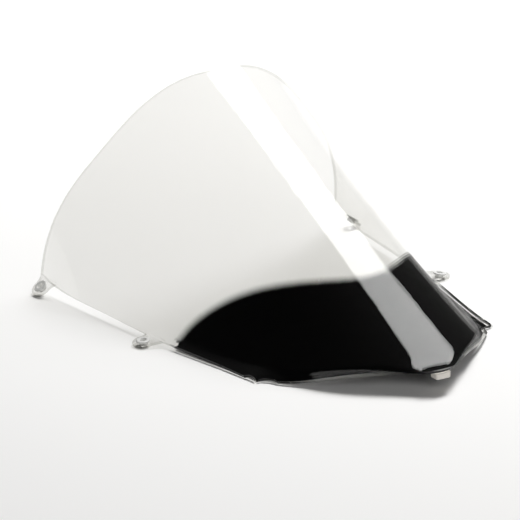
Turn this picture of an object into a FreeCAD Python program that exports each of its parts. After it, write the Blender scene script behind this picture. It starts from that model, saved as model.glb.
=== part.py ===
import FreeCAD, Part
import math
import os

# Sport-bike windshield screen, in millimetres.
# +Z is up, the nose points to -Y, the screen is symmetric about the plane X = 0.
# Z = 0 is the flat surface that the screen stands on. The tables below measure Y from a
# section near the middle; the finished pieces are shifted so that Y = 0 is half the length.

V = FreeCAD.Vector

# ---------------------------------------------------------------- driving dimensions
MIDDLE_Y = 5.0             # Y of the middle of the whole length, in the tables below
SHEET = 3.0                # thickness of the acrylic sheet
RIM_BULGE = 0.9            # how far the polished cut edge is rounded outward

# top (trailing) edge of the screen, from the crest down to the rear corner: s, x, y, z
TOP_EDGE = [
    (0.00, 0.0, 178.0, 221.0),
    (0.15, 38.3, 184.0, 216.3),
    (0.35, 88.2, 194.5, 188.7),
    (0.55, 128.2, 206.5, 145.8),
    (0.75, 161.2, 219.0, 99.8),
    (0.90, 177.4, 230.0, 55.0),
    (1.00, 183.6, 236.0, 28.5),
]

# the dome is the top edge carried down the ridge to the nose while it changes width
RIDGE_RUN = 403.0          # plan length of the ridge line
RIDGE_DROP = 202.0         # height lost along it
WIDTH_TAPER = (-0.27, 0.455)
DEPTH_TAPER = (0.118, -0.238)

# crease between dome and flared lip
NOSE_CREASE = 0.95         # ridge fraction of the crease on the centre line
CREASE_SWEEP = 0.87        # how fast the crease runs back beside the nose
CREASE_CORNER = 0.503      # arch position of the front corner of the crease
CREASE_REAR = 0.71         # arch position where the crease leaves the top edge
CREASE_BOW = (0.52, -1.09)
FLARE = 0.5                # how sharply the lip turns away from the dome

# stations at which the sheet's curves are drawn
ARCH_STEPS = 9             # from the ridge to the crease
LIP_STEPS = 5              # from the crease to the cut edge
RIDGE_STATIONS = [0.0, 0.06, 0.14, 0.26, 0.4, 0.55, 0.7, 0.85, 1.0]
NORMAL_STEP = 0.02         # step of stations over which a normal is measured

# cut edge of the lip: station, x, y, z
FRONT_EDGE = [
    (0.00, 0.0, -226.0, 24.2),
    (0.14, 16.0, -221.5, 23.0),
    (0.52, 63.5, -180.0, 13.4),
    (0.86, 106.0, -143.0, 5.2),
    (1.00, 125.0, -123.5, 3.6),
]
CORNER = (142.0, -109.0, 2.8)
SIDE_EDGE = [
    (0.00, 143.6, -91.0, 3.2),
    (0.19, 153.5, -30.0, 4.7),
    (0.40, 166.0, 37.6, 6.2),
    (0.66, 175.0, 125.0, 7.8),
    (0.90, 181.5, 203.0, 10.0),
    (1.00, 181.5, 236.0, 15.0),
]

# mounting ears: plan position, height and outward tilt of the plate
EAR_RADIUS = 11.0
EAR_HOLE_RADIUS = 4.5
EAR_ROOT_FLARE = 5.0
FRONT_EAR = dict(x=179.0, y=39.0, z=3.6, tilt=8.0, root=16.0)
REAR_EAR = dict(x=190.5, y=219.0, z=7.9, tilt=37.0, root=12.0)

# flanged bush pressed into each ear
BUSH_FLANGE_RADIUS = 7.0
BUSH_FLANGE = 1.6
BUSH_BORE_RADIUS = 3.2
BUSH_TAIL = 1.0            # length of sleeve standing out under the ear

# soft block bonded under the nose
PAD_WIDTH = 17.0
PAD_LENGTH = 10.5
PAD_THICKNESS = 6.0
PAD_OVERHANG = 1.5         # how far it stands out past the cut edge
PAD_DROP = 2.6             # from the middle of the sheet down to its upper face
PAD_SLOPE = 1.0            # degrees below horizontal, as the lip
PAD_CORNER = 2.5
PAD_EDGE_RADIUS = 1.0

# printed black band on the inner face
PRINT_GAP = 0.25           # air between the sheet and the skin that stands for the ink
PRINT_THICKNESS = 0.4
PRINT_MARGIN = 0.10        # share of the lip left clear along the cut edge
# rear boundary of the band seen from the side: a quarter of a superellipse
BAND_TOP = 79.5            # height of the boundary on the ridge
BAND_TOP_Y = -104.0
BAND_FOOT_Y = 12.0         # where the boundary comes down to the floor plane
BAND_POWER = 1.8


# ---------------------------------------------------------------- curves and surfaces
def mirrored(rows):
    """Rows (station, x, y, z) of a half outline, completed over the plane X = 0."""
    other = [(-s, -x, y, z) for s, x, y, z in rows if s > 0]
    return sorted(other + list(rows))


def spline(rows):
    """Smooth curve through rows of (station, x, y, z)."""
    curve = Part.BSplineCurve()
    points = [V(*row[1:]) for row in rows]
    curve.interpolate(Points=points, Parameters=[row[0] for row in rows])
    return curve


TOP_CURVE = spline(mirrored(TOP_EDGE))
FRONT_CURVE = spline(mirrored(FRONT_EDGE))
SIDE_CURVE = spline(SIDE_EDGE)


def dome(s, k):
    """Point of the dome: s across the arch, k down the ridge from the top edge."""
    top = TOP_CURVE.value(s)
    width = 1 + WIDTH_TAPER[0] * k + WIDTH_TAPER[1] * k * k
    depth = 1 + DEPTH_TAPER[0] * k + DEPTH_TAPER[1] * k * k
    crest = TOP_EDGE[0][3]
    x = top.x * width
    y = top.y - RIDGE_RUN * k
    z = crest - RIDGE_DROP * k - (crest - top.z) * depth
    return V(x, y, z)


def interior(a, b):
    """Dome inside the crease: a = 0..1 from ridge to side, b = 0..1 from front to top edge."""
    front = NOSE_CREASE - CREASE_SWEEP * (a * CREASE_CORNER) ** 2
    k = front * (1 - b)
    corner = NOSE_CREASE - CREASE_SWEEP * CREASE_CORNER ** 2
    kc = corner * (1 - b)
    s = a * (CREASE_REAR + CREASE_BOW[0] * kc + CREASE_BOW[1] * kc * kc)
    return dome(s, k)


def flare(root, inward, edge, w):
    """Lip section from the crease (w = 0) to the cut edge (w = 1), tangent to the dome."""
    tangent = (root - inward).normalize()
    knee = root + tangent * (FLARE * (edge - root).Length)
    return root * ((1 - w) ** 2) + knee * (2 * w * (1 - w)) + edge * (w * w)


def front_lip(a, w):
    """Lip in front of the dome."""
    return flare(interior(a, 0), interior(a, 0.02), FRONT_CURVE.value(a), w)


def side_lip(b, w):
    """Lip beside the dome."""
    return flare(interior(1, b), interior(0.97, b), SIDE_CURVE.value(b), w)


def corner_lip(w1, w2):
    """Lip round the front corner, blended from the front lip and the side lip."""
    root = interior(1, 0)
    along_front = front_lip(1, w1) - root
    along_side = side_lip(0, w2) - root
    far = V(*CORNER) - root - (front_lip(1, 1) - root) - (side_lip(0, 1) - root)
    return root + along_front + along_side + far * (w1 * w2)


def outer_point(p, q):
    """Outer face: p = -2..2 across (lip beyond 1), q = -1..1 from the front edge to the rear."""
    a = abs(p)
    if a <= 1 and q >= 0:
        point = interior(a, q)
    elif a <= 1:
        point = front_lip(a, -q)
    elif q >= 0:
        point = side_lip(q, a - 1)
    else:
        point = corner_lip(-q, a - 1)
    return V(math.copysign(point.x, p), point.y, point.z)


def normal(p, q):
    """Unit normal of the outer face, pointing away from the hollow side."""
    h = NORMAL_STEP
    p1 = max(p - h, -2.0)
    p2 = min(p + h, 2.0)
    q1 = max(q - h, -1.0)
    q2 = min(q + h, 1.0)
    across = outer_point(p2, q) - outer_point(p1, q)
    along = outer_point(p, q2) - outer_point(p, q1)
    return across.cross(along).normalize()


def spans(margin):
    """Stations of each patch across and along; margin trims that share of the lip."""
    lip = [i / LIP_STEPS * (1 - margin) for i in range(LIP_STEPS + 1)]
    side = [1 + w for w in lip]
    other_side = [-p for p in reversed(side)]
    arch = [i / ARCH_STEPS for i in range(-ARCH_STEPS, ARCH_STEPS + 1)]
    front = [-w for w in reversed(lip)]
    return (other_side, arch, side), (front, RIDGE_STATIONS)


def sheet_point(p, q, depth, reach):
    """Point lying depth under the outer face; the face ends at the given reach."""
    back = q * reach(p) if q > 0 else q
    return outer_point(p, back) - normal(p, back) * depth


def outward(p, q):
    """Unit step out of the sheet at a point of its cut edge."""
    inside = outer_point(max(min(p, 1.98), -1.98), max(min(q, 0.99), -0.98))
    return (outer_point(p, q) - inside).normalize()


def patch(across, along, depth, reach):
    """Cubic surface through the points of one patch, with its stations as parameters."""
    rows = []
    for q in along:
        curve = Part.BSplineCurve()
        points = [sheet_point(p, q, depth, reach) for p in across]
        curve.interpolate(Points=points, Parameters=across)
        rows.append(curve)
    columns = []
    for i in range(rows[0].NbPoles):
        curve = Part.BSplineCurve()
        curve.interpolate(Points=[row.getPole(i + 1) for row in rows], Parameters=along)
        columns.append(curve)
    face = Part.BSplineSurface()
    face.buildFromPolesMultsKnots(
        [column.getPoles() for column in columns],
        rows[0].getMultiplicities(), columns[0].getMultiplicities(),
        rows[0].getKnots(), columns[0].getKnots(), False, False, 3, 3)
    return face


def rim(edge, parameters, depth1, depth2, bulge, reach):
    """Strip closing the cut edge along stations (p, q), rounded outward by the bulge."""
    curves = []
    for depth in (depth1, (depth1 + depth2) / 2, depth2):
        step = bulge if depth not in (depth1, depth2) else 0
        points = []
        for p, q in edge:
            point = sheet_point(p, q, depth, reach)
            points.append(point + outward(p, q) * step if step else point)
        curve = Part.BSplineCurve()
        curve.interpolate(Points=points, Parameters=parameters)
        curves.append(curve)
    poles = [list(row) for row in zip(*[curve.getPoles() for curve in curves])]
    face = Part.BSplineSurface()
    face.buildFromPolesMultsKnots(
        poles, curves[0].getMultiplicities(), [3, 3],
        curves[0].getKnots(), [0.0, 1.0], False, False, 3, 2)
    return face


def full_reach(p):
    """The whole sheet runs back to the top edge."""
    return 1.0


def band_reach(p):
    """Station at which the printed band ends, found by halving the interval."""
    low = 0.0
    high = 1.0
    for _ in range(40):
        middle = (low + high) / 2
        point = outer_point(p, middle)
        along = max(point.y - BAND_TOP_Y, 0) / (BAND_FOOT_Y - BAND_TOP_Y)
        height = max(point.z, 0) / BAND_TOP
        if along ** BAND_POWER + height ** BAND_POWER < 1:
            low = middle
        else:
            high = middle
    return low


def sheet_solid(depth1, depth2, margin, bulge, reach):
    """Curved sheet between two depths under the outer face, as one closed solid."""
    across_spans, along_spans = spans(margin)
    faces = []
    for across in across_spans:
        for along in along_spans:
            faces.append(patch(across, along, depth1, reach))
            faces.append(patch(across, along, depth2, reach))
        for q in (along_spans[0][0], along_spans[-1][-1]):
            edge = [(p, q) for p in across]
            faces.append(rim(edge, across, depth1, depth2, bulge, reach))
    for along in along_spans:
        for p in (across_spans[0][0], across_spans[-1][-1]):
            edge = [(p, q) for q in along]
            faces.append(rim(edge, along, depth1, depth2, bulge, reach))
    shell = Part.makeShell([face.toShape() for face in faces])
    shell.sewShape()
    solid = Part.makeSolid(shell)
    if solid.Volume < 0:
        solid.reverse()
    return solid


# ---------------------------------------------------------------- ears and bushes
def placed(shape, origin, x_axis, z_axis):
    """Shape drawn about the origin, moved to a frame given by two axes."""
    y_axis = z_axis.cross(x_axis)
    m = FreeCAD.Matrix(
        x_axis.x, y_axis.x, z_axis.x, origin.x,
        x_axis.y, y_axis.y, z_axis.y, origin.y,
        x_axis.z, y_axis.z, z_axis.z, origin.z,
        0, 0, 0, 1)
    out = shape.copy()
    out.transformShape(m)
    return out


def ear_frame(ear, side):
    """Centre, outward direction and normal of an ear plate on side +1 or -1."""
    tilt = math.radians(ear["tilt"])
    centre = V(side * ear["x"], ear["y"], ear["z"])
    outward = V(side * math.cos(tilt), 0, -math.sin(tilt))
    up = V(side * math.sin(tilt), 0, math.cos(tilt))
    return centre, outward, up


def ear_plate(ear, side):
    """Ear plate: a round end on a root that widens into the lip."""
    r = EAR_RADIUS
    back = -ear["root"]
    wide = r + EAR_ROOT_FLARE
    a = V(0, -r, 0)
    b = V(r, 0, 0)
    c = V(0, r, 0)
    d = V(back, wide, 0)
    e = V(back, -wide, 0)
    side_c = Part.Arc(c, V(0.62 * back, r + 0.28 * EAR_ROOT_FLARE, 0), d).toShape()
    side_a = Part.Arc(e, V(0.62 * back, -r - 0.28 * EAR_ROOT_FLARE, 0), a).toShape()
    outline = Part.Wire([Part.Arc(a, b, c).toShape(), side_c, Part.makeLine(d, e), side_a])
    plate = Part.Face(outline).extrude(V(0, 0, SHEET))
    plate.translate(V(0, 0, -SHEET / 2))
    centre, outward, up = ear_frame(ear, side)
    return placed(plate, centre, outward, up)


def ear_hole(ear, side):
    """Cylinder that drills the ear."""
    drill = Part.makeCylinder(EAR_HOLE_RADIUS, 4 * SHEET, V(0, 0, -2 * SHEET))
    centre, outward, up = ear_frame(ear, side)
    return placed(drill, centre, outward, up)


def bush(ear, side):
    """Flanged bush: flange on the ear, sleeve through it, rounded flange rim."""
    half = SHEET / 2
    r_out = BUSH_FLANGE_RADIUS
    top = half + BUSH_FLANGE
    round_r = 0.6
    low = -half - BUSH_TAIL
    p = [
        V(BUSH_BORE_RADIUS, 0, low),
        V(EAR_HOLE_RADIUS - 0.3, 0, low),
        V(EAR_HOLE_RADIUS, 0, low + 0.3),
        V(EAR_HOLE_RADIUS, 0, half),
        V(r_out, 0, half),
        V(r_out, 0, top - round_r),
        V(r_out - round_r, 0, top),
        V(BUSH_BORE_RADIUS + 0.5, 0, top),
        V(BUSH_BORE_RADIUS, 0, top - 0.5),
    ]
    middle = V(r_out - round_r * (1 - math.sqrt(0.5)), 0, top - round_r * (1 - math.sqrt(0.5)))
    edges = [Part.makeLine(p[i], p[i + 1]) for i in range(len(p) - 1) if i != 5]
    edges.append(Part.Arc(p[5], middle, p[6]).toShape())
    edges.append(Part.makeLine(p[-1], p[0]))
    outline = Part.Wire(Part.__sortEdges__(edges))
    body = Part.Face(outline).revolve(V(0, 0, 0), V(0, 0, 1), 360)
    centre, outward, up = ear_frame(ear, side)
    return placed(body, centre, outward, up)


# ---------------------------------------------------------------- the separate pieces
# left and right are the rider's: left is +X
EARS = {
    "front_left": (FRONT_EAR, 1),
    "front_right": (FRONT_EAR, -1),
    "rear_left": (REAR_EAR, 1),
    "rear_right": (REAR_EAR, -1),
}


def screen_shell():
    """Clear acrylic screen with its four drilled ears."""
    body = sheet_solid(0.0, SHEET, 0.0, RIM_BULGE, full_reach)
    body = body.fuse([ear_plate(*ear) for ear in EARS.values()])
    body = body.cut([ear_hole(*ear) for ear in EARS.values()])
    return body


def black_band():
    """Printed band: a thin skin on the inner face, in front of its side-view boundary."""
    depth = SHEET + PRINT_GAP
    return sheet_solid(depth, depth + PRINT_THICKNESS, PRINT_MARGIN, 0.0, band_reach)


def nose_pad():
    """Soft block with rounded front corners and softened edges, bonded under the nose."""
    back = PAD_OVERHANG - PAD_LENGTH
    corner = V(back, -PAD_WIDTH / 2, -PAD_DROP - PAD_THICKNESS)
    pad = Part.makeBox(PAD_LENGTH, PAD_WIDTH, PAD_THICKNESS, corner)
    upright = [e for e in pad.Edges if abs(e.Length - PAD_THICKNESS) < 1e-6]
    front = [e for e in upright if e.CenterOfMass.x > back + PAD_LENGTH / 2]
    pad = pad.makeFillet(PAD_CORNER, front)
    lower = [e for e in pad.Edges if e.CenterOfMass.z < corner.z + 1e-6]
    pad = pad.makeFillet(PAD_EDGE_RADIUS, [e for e in lower if e.CenterOfMass.x > back + 1e-6])
    slope = math.radians(PAD_SLOPE)
    forward = V(0, -math.cos(slope), -math.sin(slope))
    up = V(0, -math.sin(slope), math.cos(slope))
    start = V(*FRONT_EDGE[0][1:]) - up * (SHEET / 2)
    return placed(pad, start, forward, up)


def single(shape):
    """The one solid of a boolean result."""
    solids = sorted(shape.Solids, key=lambda s: s.Volume)
    return solids[-1]


def main():
    os.makedirs("parts", exist_ok=True)
    pieces = {"screen_shell": screen_shell(), "black_band": black_band(), "nose_pad": nose_pad()}
    for name, ear in EARS.items():
        pieces["bush_" + name] = bush(*ear)
    for name, shape in pieces.items():
        solid = single(shape)
        solid.translate(V(0, -MIDDLE_Y, 0))
        solid.exportStep("parts/" + name + ".step")
        box = solid.BoundBox
        print(name, len(shape.Solids), solid.isValid(), round(solid.Volume / 1000, 2), "cm3",
              [round(v, 1) for v in (box.XMin, box.XMax, box.YMin, box.YMax, box.ZMin, box.ZMax)])


main()
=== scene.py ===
import math

import bpy
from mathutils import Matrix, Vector
from mathutils.bvhtree import BVHTree


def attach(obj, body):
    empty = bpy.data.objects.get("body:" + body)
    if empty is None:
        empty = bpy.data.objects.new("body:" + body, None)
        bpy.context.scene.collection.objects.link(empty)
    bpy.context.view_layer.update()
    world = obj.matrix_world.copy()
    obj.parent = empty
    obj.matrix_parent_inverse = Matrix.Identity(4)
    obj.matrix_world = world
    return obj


# Looks of the sport-bike windscreen: clear acrylic shell, printed band with its dotted
# fade, nylon bushes and a soft nose pad, on a pale studio floor. Metres, +Z up.

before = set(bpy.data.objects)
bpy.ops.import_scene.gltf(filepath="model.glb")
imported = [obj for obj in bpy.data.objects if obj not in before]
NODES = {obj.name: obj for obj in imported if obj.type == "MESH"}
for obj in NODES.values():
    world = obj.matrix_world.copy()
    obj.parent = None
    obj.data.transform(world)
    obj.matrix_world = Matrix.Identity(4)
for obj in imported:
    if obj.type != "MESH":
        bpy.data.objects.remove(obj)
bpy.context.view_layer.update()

# ---------------------------------------------------------------- driving values
CAMERA_AZIMUTH = -32.8        # degrees, 0 looks along +Y
CAMERA_ELEVATION = 20.0
CAMERA_DISTANCE = 5.0
CAMERA_FIELD = 0.520          # width of the view at the object
CAMERA_AIM = (-0.0540, 0.0138, 0.0722)

# lights: side they shine from, distance, width and height, power in watts
LIGHT_AIM = (0, 0, 0.1)
KEY_SIDE = (0.558, 0.255, 0.79)      # its reflection is the bright strip on the dome
KEY_DISTANCE = 2.2
KEY_SIZE = (0.735, 1.40)
KEY_POWER = 26.8
SHADOW_SIDE = (0.44, 0.38, 0.79)     # casts the soft shadows, not seen in reflections
SHADOW_DISTANCE = 4.5
SHADOW_SIZE = (1.3, 1.3)
SHADOW_POWER = 146.0
FILL_SIDE = (-0.15, -0.85, 0.45)    # lifts the floor in front
FILL_DISTANCE = 4.5
FILL_SIZE = (3.0, 2.0)
FILL_POWER = 52.0
ROOM_PALE_SIDE = (0.55, 0.83, 0.05)
ROOM_PALE = 0.09              # strength of the room on its pale side
ROOM_DIM = 0.02               # strength of the room elsewhere
FLOOR_HALF = 12.0

SHEET = 0.003                 # thickness of the acrylic
EDGE_THICKNESS = 1.6 * SHEET  # faces with more than this behind them are cut edge
EDGE_SPOTS = 0.8              # test spots of a face, as a share of the way to its corners
RAY_LIFT = 1e-5               # rays start this far inside the face that they leave
HARD_EDGE = 35.0              # degrees between faces above which an edge stays sharp

# light let through by each face of the sheet, and the share that it mirrors
CLEAR_TINT = (0.892, 0.89, 0.88)
CLEAR_TINT_SLANT = (0.99, 0.99, 0.985)
CLEAR_SLANT_POWER = 1.5       # how late the slanted tint takes over
CLEAR_GLOSS = (0.022, 0.25)   # head on and edge on
CLEAR_GLOSS_POWER = 5.0
CLEAR_ROUGHNESS = (0.014, 0.026)
EDGE_TINTS = ((0.77, 0.77, 0.755), (0.82, 0.82, 0.805))
EDGE_INK_AND_HIGHLIGHT = ((0.002, 0.002, 0.002), (0.50, 0.50, 0.48))  # lower half shows the black print, upper half is a painted highlight
EDGE_TURN = (0.05, 0.30)      # upward part of the normal where the printed lower half changes to the painted-highlight upper half
EDGE_PRINT_Y = (0.002, 0.012)  # the cut edge turns from printed to clear between these

# side-view boundary of the solid print: a quarter superellipse, as on the CAD band
BAND_TOP = 0.0795
BAND_TOP_Y = -0.109
BAND_FOOT_Y = 0.007
BAND_POWER = 1.8
BAND_SWEEP = 88.0             # degrees from straight up to the lowest dot of a row
DOT_PITCH = 0.0029            # spacing of the print's dots along a row
DOT_ROW_STEP = 0.0024         # spacing of the rows
DOT_ROWS = (0.00160, 0.00142, 0.00118, 0.00090, 0.00058)
DOT_GAP = 0.00025             # air between sheet and dots
DOT_THICKNESS = 0.00025
DOT_SIDES = 10
DOT_FIRST_ROW = 0.0004        # first row's distance behind the band's boundary
DOT_OFF_SHEET = 0.0012        # a dot that lands farther than this from the sheet is left out
DOT_LOWEST = 0.004            # and so is one lower than this
CHAIN_STEPS = 900             # points taken along the boundary
CHAIN_SEARCH = 0.02           # the boundary is searched this far past both its ends
CHAIN_HALVINGS = 24


# ---------------------------------------------------------------- materials
def new_material(name):
    """Empty node material: returns it with its tree and its output node."""
    material = bpy.data.materials.new(name)
    material.use_nodes = True
    tree = material.node_tree
    tree.nodes.clear()
    output = tree.nodes.new("ShaderNodeOutputMaterial")
    return material, tree, output


def map_range(tree, value, start, end, low, high):
    """Value mapped linearly from start..end to low..high, clamped."""
    span = tree.nodes.new("ShaderNodeMapRange")
    span.inputs["From Min"].default_value = start
    span.inputs["From Max"].default_value = end
    span.inputs["To Min"].default_value = low
    span.inputs["To Max"].default_value = high
    tree.links.new(value, span.inputs["Value"])
    return span.outputs["Result"]


def noise_between(tree, scale, low, high):
    """Noise mapped between two values."""
    coords = tree.nodes.new("ShaderNodeTexCoord")
    noise = tree.nodes.new("ShaderNodeTexNoise")
    noise.inputs["Scale"].default_value = scale
    noise.inputs["Detail"].default_value = 3.0
    tree.links.new(coords.outputs["Object"], noise.inputs["Vector"])
    return map_range(tree, noise.outputs["Fac"], 0, 1, low, high)


def bump(tree, height, strength, distance):
    """Bump node fed by a height value."""
    node = tree.nodes.new("ShaderNodeBump")
    node.inputs["Strength"].default_value = strength
    node.inputs["Distance"].default_value = distance
    tree.links.new(height, node.inputs["Height"])
    return node.outputs["Normal"]


def color_mix(tree, factor, first, second):
    """Mix of two (r, g, b) colours."""
    node = tree.nodes.new("ShaderNodeMix")
    node.data_type = "RGBA"
    tree.links.new(factor, node.inputs[0])
    node.inputs[6].default_value = (*first, 1)
    node.inputs[7].default_value = (*second, 1)
    return node.outputs[2]


def shader_mix(tree, factor, first, second, output):
    """Mix of two shaders, sent to the material's output."""
    mix = tree.nodes.new("ShaderNodeMixShader")
    tree.links.new(factor, mix.inputs["Fac"])
    tree.links.new(first.outputs["BSDF"], mix.inputs[1])
    tree.links.new(second.outputs["BSDF"], mix.inputs[2])
    tree.links.new(mix.outputs["Shader"], output.inputs["Surface"])


def facing_power(tree, exponent):
    """0 where a face is met head on, rising to 1 where it is met edge on."""
    layer = tree.nodes.new("ShaderNodeLayerWeight")
    layer.inputs["Blend"].default_value = 0.5
    power = tree.nodes.new("ShaderNodeMath")
    power.operation = "POWER"
    power.inputs[1].default_value = exponent
    tree.links.new(layer.outputs["Facing"], power.inputs[0])
    return power.outputs["Value"]


def clear_sheet():
    """Clear polished sheet: a see-through body, lighter at a slant, under a gloss."""
    material, tree, output = new_material("clear_acrylic")
    clear = tree.nodes.new("ShaderNodeBsdfTransparent")
    slant = facing_power(tree, CLEAR_SLANT_POWER)
    tint = color_mix(tree, slant, CLEAR_TINT, CLEAR_TINT_SLANT)
    tree.links.new(tint, clear.inputs["Color"])
    gloss = tree.nodes.new("ShaderNodeBsdfGlossy")
    gloss.inputs["Color"].default_value = (1, 1, 1, 1)
    marks = noise_between(tree, 30, *CLEAR_ROUGHNESS)
    tree.links.new(marks, gloss.inputs["Roughness"])
    share = map_range(tree, facing_power(tree, CLEAR_GLOSS_POWER), 0, 1, *CLEAR_GLOSS)
    shader_mix(tree, share, clear, gloss, output)
    return material


def principled(name, color, roughness, **sockets):
    """Principled material with a slight variation of roughness."""
    material, tree, output = new_material(name)
    shader = tree.nodes.new("ShaderNodeBsdfPrincipled")
    shader.inputs["Base Color"].default_value = (*color, 1)
    varied = noise_between(tree, 90, roughness * 0.85, roughness * 1.15)
    tree.links.new(varied, shader.inputs["Roughness"])
    for socket, value in sockets.items():
        shader.inputs[socket.replace("_", " ")].default_value = value
    tree.links.new(shader.outputs["BSDF"], output.inputs["Surface"])
    return material, tree, shader


def cut_edge():
    """Cut edge: see-through, but near the nose it shows the print under a painted highlight, a
    light upper line on its upward-facing part.
    """
    material, tree, output = new_material("cut_edge")
    coords = tree.nodes.new("ShaderNodeTexCoord")
    place = tree.nodes.new("ShaderNodeSeparateXYZ")
    tree.links.new(coords.outputs["Object"], place.inputs["Vector"])
    geometry = tree.nodes.new("ShaderNodeNewGeometry")
    turn = tree.nodes.new("ShaderNodeSeparateXYZ")
    tree.links.new(geometry.outputs["Normal"], turn.inputs["Vector"])
    # painted highlight: the upward-facing part of the cut edge is coloured light grey instead of
    # the print's black
    upper = map_range(tree, turn.outputs["Z"], *EDGE_TURN, 0, 1)
    printed = map_range(tree, place.outputs["Y"], *EDGE_PRINT_Y, 1, 0)
    clear = tree.nodes.new("ShaderNodeBsdfTransparent")
    marks = noise_between(tree, 60, 0.0, 1.0)
    tint = color_mix(tree, marks, *EDGE_TINTS)
    tree.links.new(tint, clear.inputs["Color"])
    # this shader carries both the black print and the painted highlight of the cut edge
    ink_and_highlight_bsdf = tree.nodes.new("ShaderNodeBsdfPrincipled")
    ink_and_highlight_color = color_mix(tree, upper, *EDGE_INK_AND_HIGHLIGHT)
    tree.links.new(ink_and_highlight_color, ink_and_highlight_bsdf.inputs["Base Color"])
    ink_and_highlight_bsdf.inputs["Roughness"].default_value = 0.35
    shader_mix(tree, printed, clear, ink_and_highlight_bsdf, output)
    return material


ACRYLIC = clear_sheet()
CUT_EDGE = cut_edge()
INK, _, _ = principled("black_print", (0.0012, 0.0012, 0.0014), 0.6, Specular_IOR_Level=0.02)
NYLON, _, _ = principled("nylon", (0.84, 0.84, 0.82), 0.3)
FOAM, foam_tree, foam_shader = principled("foam_rubber", (0.80, 0.76, 0.70), 0.8)
pores = noise_between(foam_tree, 900, 0.0, 1.0)
foam_tree.links.new(bump(foam_tree, pores, 0.25, 0.0003), foam_shader.inputs["Normal"])


# ---------------------------------------------------------------- carried-over CAD nodes
def dress(obj, *materials):
    """Material slots of an object, in order."""
    obj.data.materials.clear()
    for material in materials:
        obj.data.materials.append(material)


def smooth(obj):
    """Smooth shading with hard edges kept."""
    obj.data.polygons.foreach_set("use_smooth", [True] * len(obj.data.polygons))
    obj.data.set_sharp_from_angle(angle=math.radians(HARD_EDGE))


def world_tree(obj):
    """Ray tree of a mesh in the part's frame."""
    points = [obj.matrix_world @ v.co for v in obj.data.vertices]
    return BVHTree.FromPolygons(points, [list(p.vertices) for p in obj.data.polygons])


def mark_cut_edge(obj):
    """Second material slot on the faces with more than the sheet's thickness behind them."""
    tree = world_tree(obj)
    turn = obj.matrix_world.to_3x3()
    for polygon in obj.data.polygons:
        inward = -(turn @ polygon.normal).normalized()
        corners = [obj.data.vertices[i].co for i in polygon.vertices]
        spots = [polygon.center]
        spots += [polygon.center.lerp(corner, EDGE_SPOTS) for corner in corners]
        depths = []
        for spot in spots:
            start = obj.matrix_world @ spot + inward * RAY_LIFT
            _, _, _, distance = tree.ray_cast(start, inward)
            depths.append(distance or math.inf)
        if min(depths) > EDGE_THICKNESS:
            polygon.material_index = 1


SHELL = NODES["screen_shell"]
dress(SHELL, ACRYLIC, CUT_EDGE)
mark_cut_edge(SHELL)
smooth(SHELL)
for node_name, material in (
    ("black_band", INK),
    ("nose_pad", FOAM),
    ("bush_front_left", NYLON),
    ("bush_front_right", NYLON),
    ("bush_rear_left", NYLON),
    ("bush_rear_right", NYLON),
):
    dress(NODES[node_name], material)
    smooth(NODES[node_name])


# ---------------------------------------------------------------- dotted fade of the print
def hollow_hit(tree, y, angle):
    """Inner face of the sheet and the outer face over it, at an angle from straight up."""
    direction = Vector((math.sin(angle), 0, math.cos(angle)))
    hit, normal, _, _ = tree.ray_cast(Vector((0, y, 0)), direction)
    if hit is None:
        return None, None
    return hit, hit - normal * SHEET


def past_band(point):
    """Above 0 behind the band's boundary, below 0 in front of it."""
    along = max(point.y - BAND_TOP_Y, 0) / (BAND_FOOT_Y - BAND_TOP_Y)
    height = max(point.z, 0) / BAND_TOP
    return along ** BAND_POWER + height ** BAND_POWER - 1


def boundary_point(tree, angle):
    """Point of the band's boundary at an angle, found by halving the interval along Y."""
    front = BAND_TOP_Y - CHAIN_SEARCH
    rear = BAND_FOOT_Y + CHAIN_SEARCH
    for _ in range(CHAIN_HALVINGS):
        middle = (front + rear) / 2
        hit, outer = hollow_hit(tree, middle, angle)
        if hit is not None and past_band(outer) < 0:
            front = middle
        else:
            rear = middle
    return hollow_hit(tree, front, angle)[0]


def evenly(points, pitch, start):
    """Positions and directions at an even pitch along a chain of points."""
    out = []
    wanted = start
    covered = 0.0
    for a, b in zip(points, points[1:]):
        step = (b - a).length
        while wanted <= covered + step:
            out.append((a.lerp(b, (wanted - covered) / step), (b - a).normalized()))
            wanted += pitch
        covered += step
    return out


def add_dot(vertices, faces, centre, normal, tangent, radius):
    """Closed thin disc with its axis along the normal."""
    first = len(vertices)
    side = normal.cross(tangent).normalized()
    for level in (0, DOT_THICKNESS):
        for i in range(DOT_SIDES):
            turn = 2 * math.pi * i / DOT_SIDES
            offset = (tangent * math.cos(turn) + side * math.sin(turn)) * radius
            vertices.append(centre + normal * level + offset)
    ring = list(range(DOT_SIDES))
    faces.append([first + i for i in reversed(ring)])
    faces.append([first + DOT_SIDES + i for i in ring])
    for i in ring:
        j = (i + 1) % DOT_SIDES
        faces.append([first + i, first + j, first + DOT_SIDES + j, first + DOT_SIDES + i])


def boundary_chain(tree):
    """Points of the band's boundary from one side of the sheet to the other."""
    sweep = math.radians(BAND_SWEEP)
    chain = []
    for i in range(CHAIN_STEPS + 1):
        point = boundary_point(tree, sweep * (2 * i / CHAIN_STEPS - 1))
        if point is not None:
            chain.append(point)
    return chain


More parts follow.
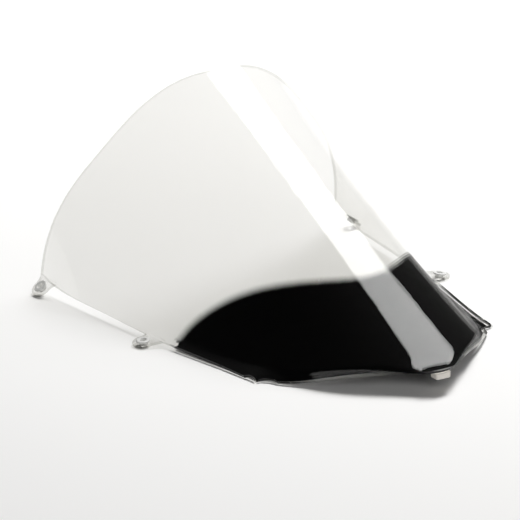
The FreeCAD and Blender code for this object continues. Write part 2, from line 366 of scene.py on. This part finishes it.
def print_dots():
    """Rows of shrinking dots behind the band's boundary, staggered row by row."""
    tree = world_tree(SHELL)
    chain = boundary_chain(tree)
    vertices = []
    faces = []
    for row, radius in enumerate(DOT_ROWS):
        stagger = DOT_PITCH / 2 * (row % 2)
        for place, tangent in evenly(chain, DOT_PITCH, stagger):
            _, normal, _, _ = tree.find_nearest(place)
            toward_rear = tangent.cross(normal).normalized()
            if toward_rear.y < 0:
                toward_rear = -toward_rear
            moved = place + toward_rear * (row * DOT_ROW_STEP + DOT_FIRST_ROW)
            centre, normal, _, distance = tree.find_nearest(moved)
            if distance > DOT_OFF_SHEET or centre.z < DOT_LOWEST:
                continue
            flat = (tangent - normal * tangent.dot(normal)).normalized()
            add_dot(vertices, faces, centre + normal * DOT_GAP, normal, flat, radius)
    mesh = bpy.data.meshes.new("print_dots")
    mesh.from_pydata(vertices, [], faces)
    obj = bpy.data.objects.new("print_dots", mesh)
    bpy.context.scene.collection.objects.link(obj)
    dress(obj, INK)
    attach(obj, "root")


print_dots()


# ---------------------------------------------------------------- stage, light, camera
def floor():
    """Pale floor."""
    mesh = bpy.data.meshes.new("floor")
    signs = ((-1, -1), (1, -1), (1, 1), (-1, 1))
    corners = [(x * FLOOR_HALF, y * FLOOR_HALF, 0) for x, y in signs]
    mesh.from_pydata(corners, [], [(0, 1, 2, 3)])
    obj = bpy.data.objects.new("floor", mesh)
    bpy.context.scene.collection.objects.link(obj)
    material, _, _ = principled("studio_floor", (0.95, 0.945, 0.935), 0.6, Specular_IOR_Level=0.1)
    dress(obj, material)


def look_at(obj, target):
    """Turn a camera or light to face a point."""
    direction = Vector(target) - obj.location
    obj.rotation_euler = direction.to_track_quat("-Z", "Y").to_euler()


def softbox(name, side, distance, size, power):
    """Rectangular studio light facing LIGHT_AIM."""
    light = bpy.data.lights.new(name, "AREA")
    light.shape = "RECTANGLE"
    light.size, light.size_y = size
    light.energy = power
    obj = bpy.data.objects.new(name, light)
    obj.location = Vector(LIGHT_AIM) + Vector(side).normalized() * distance
    look_at(obj, LIGHT_AIM)
    bpy.context.scene.collection.objects.link(obj)
    return obj


def surroundings():
    """Room that is pale behind and right of the object and dim in front of it."""
    world = bpy.data.worlds.new("studio")
    bpy.context.scene.world = world
    world.use_nodes = True
    tree = world.node_tree
    coords = tree.nodes.new("ShaderNodeTexCoord")
    dot = tree.nodes.new("ShaderNodeVectorMath")
    dot.operation = "DOT_PRODUCT"
    dot.inputs[1].default_value = Vector(ROOM_PALE_SIDE).normalized()
    tree.links.new(coords.outputs["Generated"], dot.inputs[0])
    strength = map_range(tree, dot.outputs["Value"], 0.0, 0.75, ROOM_DIM, ROOM_PALE)
    background = tree.nodes["Background"]
    background.inputs["Color"].default_value = (1.0, 0.995, 0.985, 1)
    tree.links.new(strength, background.inputs["Strength"])


def studio():
    """Three lights and the room."""
    softbox("key_softbox", KEY_SIDE, KEY_DISTANCE, KEY_SIZE, KEY_POWER)
    softbox("front_fill", FILL_SIDE, FILL_DISTANCE, FILL_SIZE, FILL_POWER)
    shadow = softbox("shadow_light", SHADOW_SIDE, SHADOW_DISTANCE, SHADOW_SIZE, SHADOW_POWER)
    shadow.visible_glossy = False
    surroundings()


def camera():
    """Long lens, in front of the screen on the rider's right."""
    az = math.radians(CAMERA_AZIMUTH)
    el = math.radians(CAMERA_ELEVATION)
    back = Vector((math.sin(az) * math.cos(el), -math.cos(az) * math.cos(el), math.sin(el)))
    data = bpy.data.cameras.new("camera")
    data.sensor_width = 36.0
    data.lens = data.sensor_width * CAMERA_DISTANCE / CAMERA_FIELD
    data.clip_end = 100
    obj = bpy.data.objects.new("camera", data)
    obj.location = Vector(CAMERA_AIM) + back * CAMERA_DISTANCE
    look_at(obj, CAMERA_AIM)
    bpy.context.scene.collection.objects.link(obj)
    bpy.context.scene.camera = obj


floor()
studio()
camera()
bpy.context.scene.view_settings.view_transform = "Standard"
